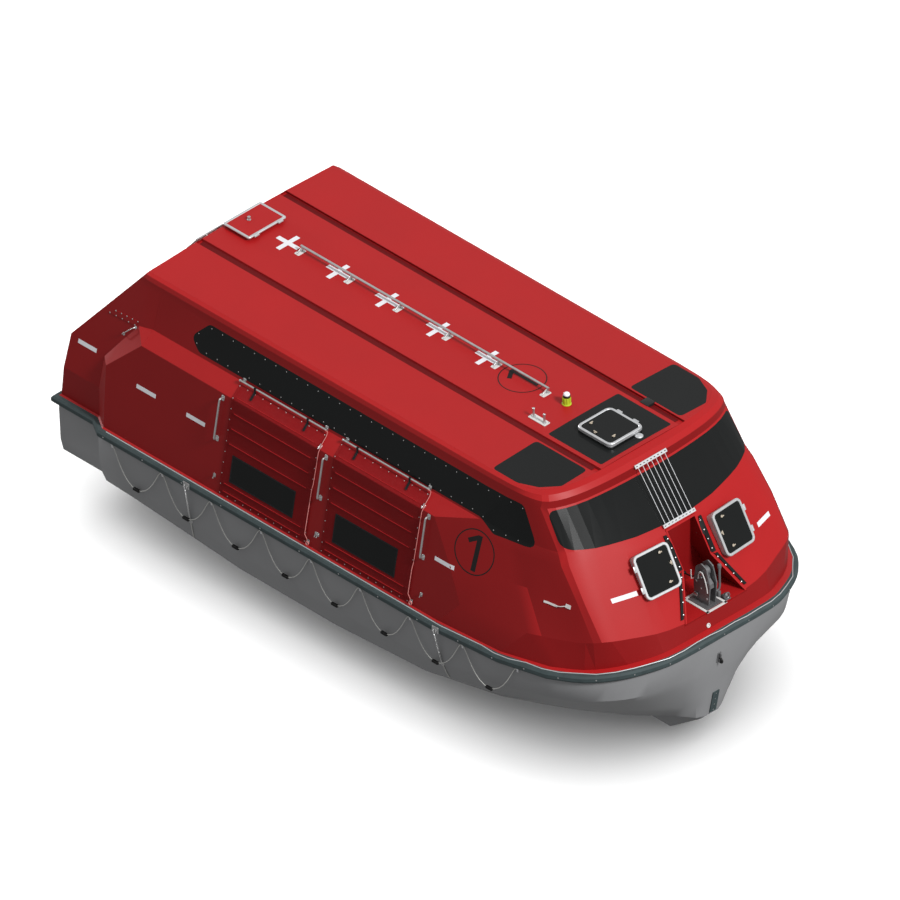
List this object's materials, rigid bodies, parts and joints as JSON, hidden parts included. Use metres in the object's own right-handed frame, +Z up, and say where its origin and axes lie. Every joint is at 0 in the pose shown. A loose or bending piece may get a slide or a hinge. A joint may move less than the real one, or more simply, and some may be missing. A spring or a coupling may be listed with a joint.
{
  "type": "enclosed lifeboat",
  "caption": "Davit-launched enclosed lifeboat with a flat-topped rigid canopy, wrap-round bow glazing, side covers, release hooks in wells and a steering nozzle.",
  "frame": {"origin": "on the centreline at the light waterline, midway along the boat over its fender", "axes": "+X to the bow, +Y to port, +Z up"},
  "size_m": [8.8, 4.25, 3.7],
  "materials": {
    "canopy_red": "glossy moulded fibreglass, red",
    "hull_grey": "satin gelcoat, grey",
    "fender_rubber": "dull dark rubber",
    "glazing": "dark tinted acrylic, polished",
    "cover_cloth": "coated cloth over battens, red",
    "line_rope": "laid rope, off-white",
    "stainless_steel": "polished stainless steel",
    "aluminium_frame": "satin aluminium",
    "bronze": "cast bronze",
    "engine_paint": "engine enamel, blue grey",
    "lamp_green": "yellow-green moulded plastic"
  },
  "bodies": {
    "boat": {"side_wall_starboard": "canopy_red", "side_wall_port": "canopy_red", "canopy_bow": "canopy_red", "canopy_stern": "canopy_red", "roof_starboard": "canopy_red", "roof_port": "canopy_red", "roof_center": "canopy_red", "front_window": "glazing", "side_window_starboard": "glazing", "side_window_port": "glazing", "roof_window_center": "glazing", "roof_window_starboard": "glazing", "roof_window_port": "glazing", "hull": "hull_grey", "keel_skeg": "hull_grey", "fender": "fender_rubber", "lifeline_starboard": "line_rope", "lifeline_port": "line_rope", "bow_hook_well": "canopy_red", "stern_hook_well": "canopy_red", "bow_hook_frame": "stainless_steel", "stern_hook_frame": "stainless_steel", "bow_hatch_coaming_starboard": "aluminium_frame", "bow_hatch_coaming_port": "aluminium_frame", "roof_hatch_coaming": "aluminium_frame", "aft_hatch_coaming": "aluminium_frame", "side_cover_aft_starboard": "cover_cloth", "side_cover_forward_starboard": "cover_cloth", "side_cover_aft_port": "cover_cloth", "side_cover_forward_port": "cover_cloth", "grab_handle_aft_starboard": "stainless_steel", "grab_handle_middle_starboard": "stainless_steel", "grab_handle_forward_starboard": "stainless_steel", "grab_handle_aft_port": "stainless_steel", "grab_handle_middle_port": "stainless_steel", "grab_handle_forward_port": "stainless_steel", "roof_rail": "stainless_steel", "window_guard": "aluminium_frame", "boarding_ladder": "stainless_steel", "position_light": "lamp_green", "engine_block": "engine_paint"},
    "propeller": {"propeller": "bronze"},
    "nozzle": {"steering_nozzle": "hull_grey"},
    "bow_hook": {"bow_hook": "stainless_steel"},
    "stern_hook": {"stern_hook": "stainless_steel"},
    "bow_lid_starboard": {"bow_hatch_lid_starboard": "aluminium_frame"},
    "bow_lid_port": {"bow_hatch_lid_port": "aluminium_frame"},
    "roof_lid": {"roof_hatch_lid": "aluminium_frame"},
    "aft_lid": {"aft_hatch_lid": "canopy_red"}
  },
  "joints": [
    {"name": "propeller_spin", "type": "hinge", "parent": "boat", "child": "propeller", "pos_m": [-3.65, 0, -0.28], "axis": [1, 0, 0], "continuous": true},
    {"name": "nozzle_steer", "type": "hinge", "parent": "boat", "child": "nozzle", "pos_m": [-3.65, 0, -0.28], "axis": [0, 0, 1], "range_deg": [-35, 35]},
    {"name": "bow_hook_release", "type": "hinge", "parent": "boat", "child": "bow_hook", "pos_m": [4.025, 0, 1.645], "axis": [0, 1, 0], "range_deg": [0, 70]},
    {"name": "stern_hook_release", "type": "hinge", "parent": "boat", "child": "stern_hook", "pos_m": [-3.98, 0, 1.69], "axis": [0, -1, 0], "range_deg": [0, 70]},
    {"name": "bow_lid_starboard_hinge", "type": "hinge", "parent": "boat", "child": "bow_lid_starboard", "pos_m": [3.82856, -0.86665, 1.84144], "axis": [0.5011, -0.0142, -0.8653], "range_deg": [0, 100]},
    {"name": "bow_lid_port_hinge", "type": "hinge", "parent": "boat", "child": "bow_lid_port", "pos_m": [3.82856, 0.86665, 1.84144], "axis": [-0.5011, -0.0142, 0.8653], "range_deg": [0, 100]},
    {"name": "roof_lid_hinge", "type": "hinge", "parent": "boat", "child": "roof_lid", "pos_m": [2.53, 0.264, 2.8802], "axis": [-1, 0, 0], "range_deg": [0, 100]},
    {"name": "aft_lid_hinge", "type": "hinge", "parent": "boat", "child": "aft_lid", "pos_m": [-2.926, 0, 2.8722], "axis": [0, 1, 0], "range_deg": [0, 95]}
  ]
}
